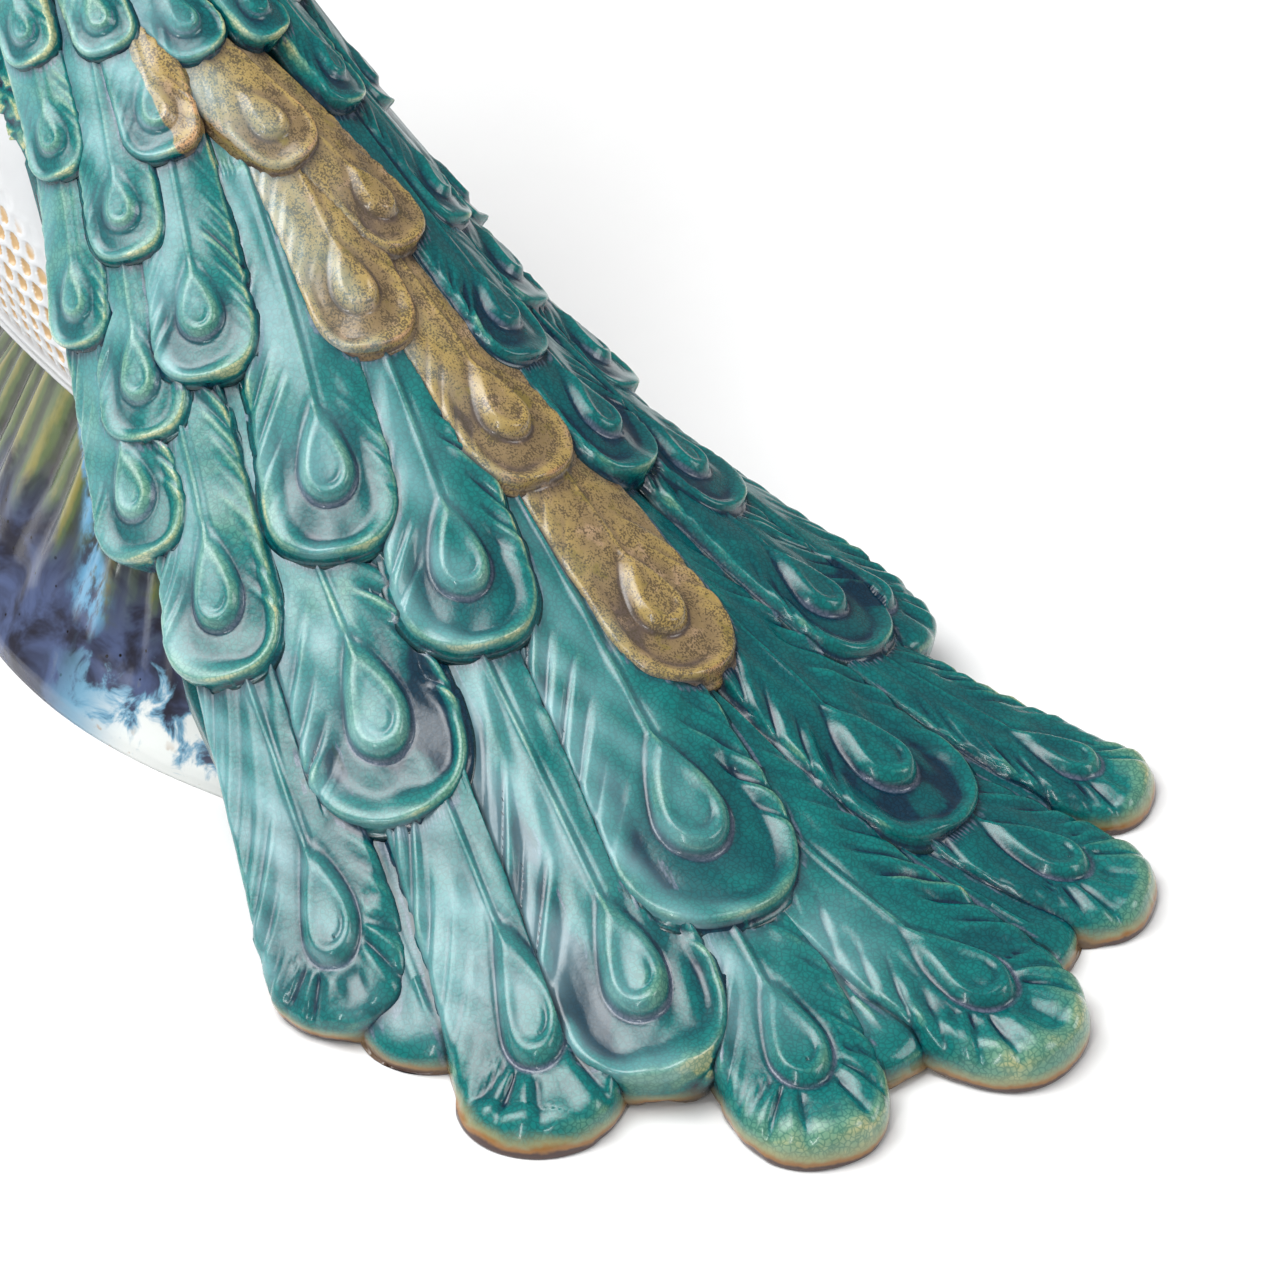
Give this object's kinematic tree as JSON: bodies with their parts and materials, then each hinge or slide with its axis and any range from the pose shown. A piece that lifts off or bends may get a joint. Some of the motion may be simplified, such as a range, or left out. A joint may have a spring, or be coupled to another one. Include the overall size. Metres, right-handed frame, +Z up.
{
  "type": "peacock figurine",
  "caption": "Glazed stoneware peacock standing on a ribbed rock, with a long feathered train draped down behind it to the ground.",
  "frame": {"origin": "middle of the flat underside, on the surface that the figurine stands on", "axes": "+X from the breast to the tips of the train, +Y across the bird, +Z up"},
  "size_m": [0.5782, 0.2831, 0.4102],
  "materials": {
    "teal_glaze": "glossy crackled teal glaze with dark pools in the hollows and pale green on the ridges; gold-brown speckled glaze on the crest feathers, white wings, and a dark rock with white drips"
  },
  "bodies": {
    "root": {"peacock_figurine": "teal_glaze"}
  },
  "joints": []
}
